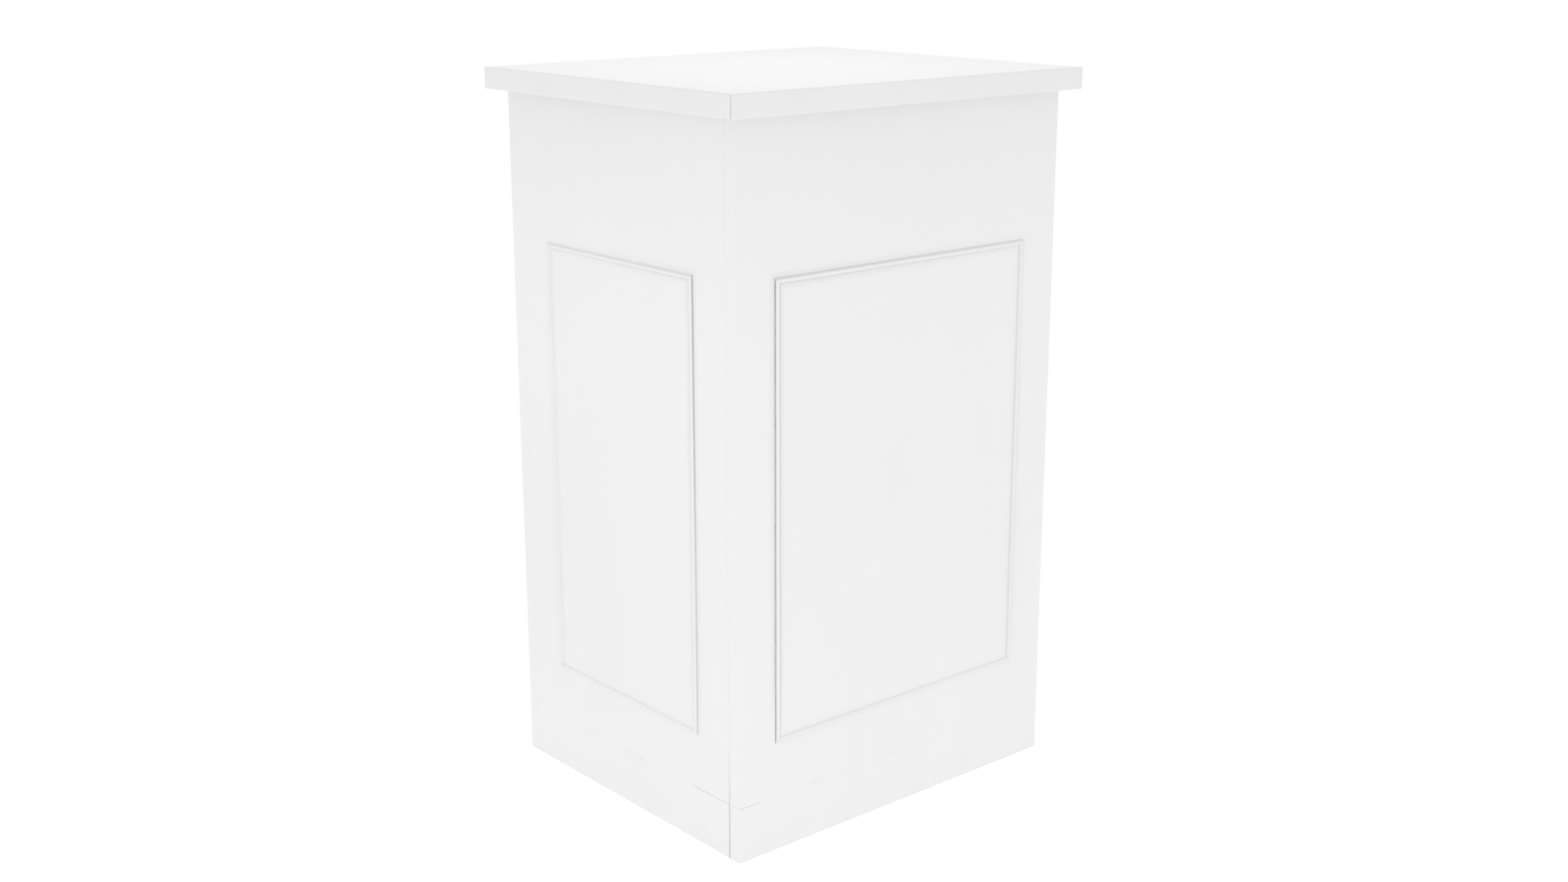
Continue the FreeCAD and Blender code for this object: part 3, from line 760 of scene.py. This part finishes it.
# ---------------------------------------------------------------------------- top
def make_top():
    lo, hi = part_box("top_surface_sheet")
    lo2, hi2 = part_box("top_core_board")

    def sheet_r(axis, sa, sb, P):
        return 0.00012

    field = smooth_noise(500, 0.3)

    def dish(P, l, h):
        move = np.zeros_like(P)
        skin = P[:, 2] > h[2] - 1e-6
        edge = np.minimum.reduce([P[:, 0] - l[0], h[0] - P[:, 0], P[:, 1] - l[1], h[1] - P[:, 1]])
        fade = np.clip(edge / 0.06, 0, 1) ** 2
        move[:, 2] = np.where(skin, -np.clip(0.00006 * (1 + field(P * np.array([1, 1, 0.0]))) * fade, 0, 0.0002), 0)
        return move

    ob = board("top_surface_laminate", lines(lo.x, hi.x, 40), lines(lo.y, hi.y, 36),
               np.array([lo.z, lo.z + 0.0005, hi.z - 0.00012, hi.z]), sheet_r, dish)
    dress(ob, LAMINATE)
    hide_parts("top_surface_sheet")
    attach(ob, "root")

    # edge bands
    for side, turn, span, out, laps in SIDES:
        reach = (TD if laps else TW) / 2
        thick = TD / 2 - hi.y
        run = TW if laps else TD - 2 * thick
        half = run / 2

        def radius(axis, sa, sb, P, laps=laps, turn=turn):
            if axis == 0 and sa < 0:
                return 0.0012 + 0.0002 * smooth_noise(40 + turn, 0.12, 1)(P[:, 0:1])
            if axis == 2 and sb < 0:
                return 0.0005 if laps else 0.00028
            return 0.00012

        def open_end(P, l, h, side=side):
            """The joint beside the front-left corner has opened by most of a millimetre."""
            move = np.zeros_like(P)
            if side == "left":
                move[:, 0] -= np.where(P[:, 0] > h[0] - 0.0019, 0.0008, 0)
            elif not laps:
                move[:, 0] -= np.sign(P[:, 0]) * np.where(np.abs(P[:, 0]) > h[0] - 0.0019, 0.00015, 0)
            return move
        fine = np.array([0, 0.12, 0.28, 0.5, 0.8, 1.2, 1.6]) * MM
        xs = lines(-half, half, 40)
        ys = np.unique(np.round(np.concatenate([-reach + fine, [-(reach - thick) - 0.00012, -(reach - thick)]]), 7))
        zs = lines(TZ[0], TZ[1], 6, fine)
        band = board("top_edge_" + side + "_band", xs, ys, zs, radius, open_end)
        turn_mesh(band, turn)
        dress(band, BAND)
        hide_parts("top_edge_" + side)
        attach(band, "root")


make_top()


# ------------------------------------------------------------------------- screws
ROUND = 12
PITCH = 2.2 * MM


def separate_points(ob):
    """The points of each separate solid of a node."""
    where, parent = {}, {}

    def root(i):
        while parent[i] != i:
            parent[i] = parent[parent[i]]
            i = parent[i]
        return i

    key = [tuple(np.round(ob.matrix_world @ v.co, 6)) for v in ob.data.vertices]
    for k in key:
        parent.setdefault(k, k)
    for e in ob.data.edges:
        a, b = root(key[e.vertices[0]]), root(key[e.vertices[1]])
        parent[a] = b
    for k in parent:
        where.setdefault(root(k), []).append(k)
    return [np.array(sorted(g)) for g in sorted(where.values(), key=min)]


def screw_mesh(length, spin):
    """One countersunk screw along +z, head at zero: cross recess, plain neck, a
    thread that rises from the core and a tapered point."""
    verts, faces = [], []
    step = 2 * math.pi / ROUND

    def add_point(r, k, z):
        t = spin + step * k
        verts.append((r * math.cos(t), r * math.sin(t), z))
        return len(verts) - 1

    def ring(r, z):
        return [add_point(r, k - 0.5, z) for k in range(ROUND)]

    def band(a, b):
        for k in range(ROUND):
            n = (k + 1) % ROUND
            faces.append((a[k], a[n], b[n], b[k]))

    def cross(size, z):
        arm, w = 2.1 * MM * size, 0.55 * MM * size
        out = []
        for q in range(4):
            c, s_ = math.cos(spin + q * math.pi / 2), math.sin(spin + q * math.pi / 2)
            for x, y in ((arm, -w), (arm, w), (w, w)):
                verts.append((x * c - y * s_, x * s_ + y * c, z))
                out.append(len(verts) - 1)
        return out

    # head, from the bottom of the recess outwards
    verts.append((0, 0, 2.0 * MM))
    floor = cross(0.5, 1.7 * MM)
    for k in range(ROUND):
        faces.append((0, floor[k], floor[(k + 1) % ROUND]))
    mouth = cross(1.0, 0.02 * MM)
    band(floor, mouth)
    rings = [ring(3.72 * MM, 0.0), ring(3.86 * MM, 0.12 * MM), ring(2.05 * MM, 1.93 * MM),
             ring(1.96 * MM, 2.2 * MM)]
    start = 2 * MM + 0.25 * length
    rings += [ring(1.96 * MM, start - 0.7 * MM), ring(1.5 * MM, start)]
    band(mouth, rings[0])
    for a, b in zip(rings, rings[1:]):
        band(a, b)
    # thread
    z0 = start + 0.3 * MM
    turns = int((length - 4.4 * MM - z0) / PITCH) - 1
    last = turns * ROUND
    core, crest = 1.35 * MM, 1.97 * MM

    def at(s, share):
        return z0 + PITCH * (s / ROUND + share)

    root_row = [add_point(core, s - 0.5, at(s, 0)) for s in range(last + ROUND + 1)]
    rise = [core + (crest - core) * min(1.0, 0.12 + s / ROUND, 0.12 + (last - s) / ROUND) for s in range(last + 1)]
    top_row = [add_point(rise[s], s - 0.5, at(s, 0.16)) for s in range(last + 1)]
    end_row = [add_point(core, s - 0.5, at(s, 0.32)) for s in range(last + 1)]
    for s in range(last):
        faces.append((root_row[s], root_row[s + 1], top_row[s + 1], top_row[s]))
        faces.append((top_row[s], top_row[s + 1], end_row[s + 1], end_row[s]))
        faces.append((end_row[s], end_row[s + 1], root_row[s + 1 + ROUND], root_row[s + ROUND]))
    neck = rings[-1]
    for k in range(ROUND):
        faces.append((neck[k], neck[(k + 1) % ROUND], root_row[k + 1], root_row[k]))
    faces.append((neck[0], root_row[0], top_row[0], end_row[0], root_row[ROUND]))
    # point
    tail = ring(core, at(last, 1) + 0.3 * MM)
    for k in range(ROUND):
        faces.append((root_row[last + k], root_row[last + k + 1], tail[(k + 1) % ROUND], tail[k]))
    faces.append((root_row[last], tail[0], root_row[last + ROUND], end_row[last], top_row[last]))
    low = ring(core, length - 3.4 * MM)
    band(tail, low)
    tip = ring(0.3 * MM, length - 0.1 * MM)
    band(low, tip)
    verts.append((0, 0, length))
    for k in range(ROUND):
        faces.append((tip[k], tip[(k + 1) % ROUND], len(verts) - 1))
    return np.array(verts), faces


def make_screws(name):
    verts, faces = [], []
    for i, P in enumerate(separate_points(nodes[name])):
        lo, hi = P.min(0), P.max(0)
        ax = int(np.argmax(hi - lo))
        mid = (lo + hi) / 2
        reach = np.linalg.norm(np.delete(P - mid, ax, 1), axis=1)
        first = reach[P[:, ax] < lo[ax] + 1e-5].max()
        final = reach[P[:, ax] > hi[ax] - 1e-5].max()
        way = 1.0 if first > final else -1.0
        head = mid.copy()
        head[ax] = lo[ax] if way > 0 else hi[ax]
        d, u = np.zeros(3), np.zeros(3)
        d[ax] = way
        u[(ax + 1) % 3] = 1.0
        v = np.cross(d, u)
        V_, F_ = screw_mesh(hi[ax] - lo[ax], 0.7 * i)
        base = len(verts)
        verts += [tuple(head + u * p[0] + v * p[1] + d * p[2]) for p in V_]
        faces += [tuple(base + k for k in f) for f in F_]
    ob = mesh_object(name + "_threaded", verts, faces)
    weld_and_orient(ob)
    for poly in ob.data.polygons:
        poly.use_smooth = True
    ob.data.set_sharp_from_angle(angle=math.radians(38))
    dress(ob, ZINC)
    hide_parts(name)
    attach(ob, "root")


for n in ("batten_screws", "cleat_screws", "deck_screws", "top_fixing_screws",
          "base_fixing_screws", "base_block_screws"):
    make_screws(n)


# ------------------------------------------------------------------- inner pieces
for n, ob in nodes.items():
    if ob.hide_render:
        continue
    if n in ("bottom_deck", "top_core_board"):
        dress(ob, BARE)
    elif n == "top_underlay_sheet":
        dress(ob, BACKER)
    elif n.startswith(("corner_batten", "base_block")):
        dress(ob, PINE["z"])
    elif n.endswith("_cleat_front") or n.endswith("_cleat_back"):
        dress(ob, PINE["x"])
    elif n.startswith(("top_cleat", "base_cleat")):
        dress(ob, PINE["y"])
    else:
        dress(ob, ZINC)


# ------------------------------------------------------------------ floor and light
def make_floor():
    """Plain white sweep that glows as painted light, more strongly close to the object so that no shadow shows on it.
    """
    me = bpy.data.meshes.new("floor")
    s = 60.0
    me.from_pydata([(-s, -s, 0), (s, -s, 0), (s, s, 0), (-s, s, 0)], [], [(0, 1, 2, 3)])
    ob = bpy.data.objects.new("floor", me)
    scene.collection.objects.link(ob)
    m, nt, bsdf = new_material("studio_floor")
    bsdf.inputs["Base Color"].default_value = (0.50, 0.50, 0.50, 1)
    bsdf.inputs["Roughness"].default_value = 0.9
    bsdf.inputs["Specular IOR Level"].default_value = 0.1
    bsdf.inputs["Emission Color"].default_value = (1, 1, 1, 1)
    co = add(nt, "ShaderNodeTexCoord").outputs["Object"]
    far = add(nt, "ShaderNodeVectorMath", operation="LENGTH")
    nt.links.new(co, far.inputs[0])
    # Painted light: glow 0.66 within 0.25 m of the middle, falling to 0.54 beyond 1.1 m, to cancel the object's shadow.
    nt.links.new(remap(nt, far.outputs["Value"], 0.25, 1.1, 0.66, 0.54, smooth=True), bsdf.inputs["Emission Strength"])
    me.materials.append(m)


make_floor()

world = bpy.data.worlds.new("studio")
scene.world = world
world.use_nodes = True
bg = world.node_tree.nodes["Background"]
bg.inputs["Color"].default_value = (1, 1, 1, 1)
bg.inputs["Strength"].default_value = 1.0


def softbox(name, at, look, size, power):
    data = bpy.data.lights.new(name, "AREA")
    data.shape = "RECTANGLE"
    data.size, data.size_y = size
    data.energy = power
    ob = bpy.data.objects.new(name, data)
    scene.collection.objects.link(ob)
    ob.location = at
    d = Vector(look) - Vector(at)
    ob.rotation_euler = d.to_track_quat("-Z", "Y").to_euler()
    ob.visible_camera = False
    return ob


# Round the front-left corner two key boxes, each square to one face and grazing
# the other, with a low strip filling the far half of each face. The same again
# round the back-right corner, and a small box over the top.
AWAY, LOW = 1.05, 0.38
for k in (1, -1):
    tag = "a" if k > 0 else "b"
    fx, fy = -k * (BW / 2 + AWAY), -k * (BD / 2 + AWAY)
    softbox("key_side_" + tag, (fx, -k * 0.70, LOW), (-k * BW / 2, 0, LOW), (0.5, 0.5), 1.4)
    softbox("key_wide_" + tag, (-k * 0.70, fy, LOW), (0, -k * BD / 2, LOW), (0.5, 0.5), 1.4)
    softbox("fill_side_" + tag, (fx, k * 0.55, LOW), (-k * BW / 2, k * 0.2, LOW), (1.3, 0.4), 0.9)
    softbox("fill_wide_" + tag, (k * 0.60, fy, LOW), (k * 0.2, -k * BD / 2, LOW), (1.3, 0.4), 0.9)
softbox("overhead", (-0.02, 0.0, TZ[1] + 0.42), (-0.02, 0.0, 0), (0.34, 0.30), 0.34)

scene.view_settings.view_transform = "Standard"
scene.view_settings.look = "None"
scene.view_settings.exposure = 0
scene.view_settings.gamma = 1
